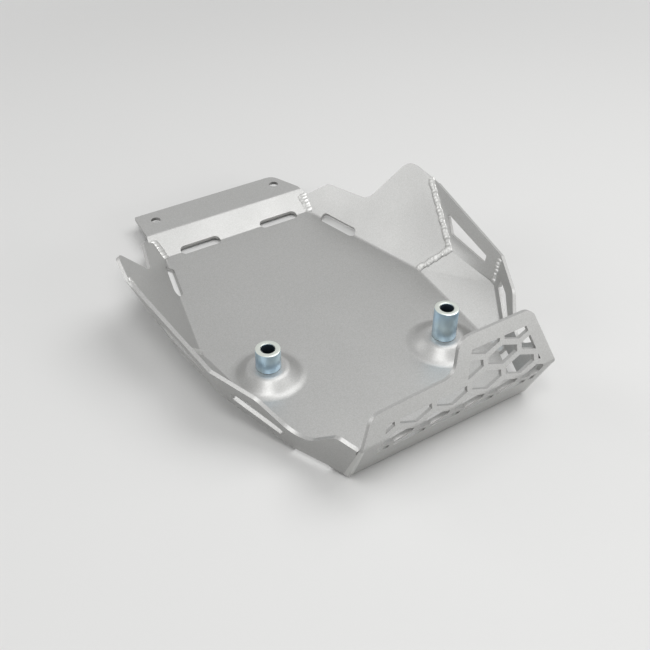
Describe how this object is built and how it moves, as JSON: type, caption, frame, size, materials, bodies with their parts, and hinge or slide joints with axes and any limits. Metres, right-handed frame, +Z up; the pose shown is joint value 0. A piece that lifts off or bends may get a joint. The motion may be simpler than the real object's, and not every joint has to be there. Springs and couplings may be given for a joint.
{
  "type": "motorcycle engine guard",
  "caption": "Folded and welded aluminium skid tray with flared side walls, a rear bolt flange, a honeycomb nose and spacers on dimples.",
  "frame": {"origin": "on the underside of the flat floor, in the middle of the part's width and close to the middle of its length", "axes": "+X across the motorcycle towards the long spacer, +Y from the honeycomb nose towards the rear flange, +Z up into the tray"},
  "size_m": [0.2986, 0.3861, 0.0949],
  "materials": {
    "plate": "blasted satin silver, fine grain",
    "weld": "rippled weld bead, satin",
    "spacer": "bright zinc plate"
  },
  "bodies": {
    "root": {"guard_plate": "plate", "spacer_short": "spacer", "spacer_long": "spacer", "weld_rear_right": "weld", "weld_rear_left": "weld", "weld_side_right": "weld", "weld_side_left": "weld", "weld_shoulder_right": "weld", "weld_shoulder_left": "weld", "weld_nose_right": "weld", "weld_nose_left": "weld"}
  },
  "joints": []
}
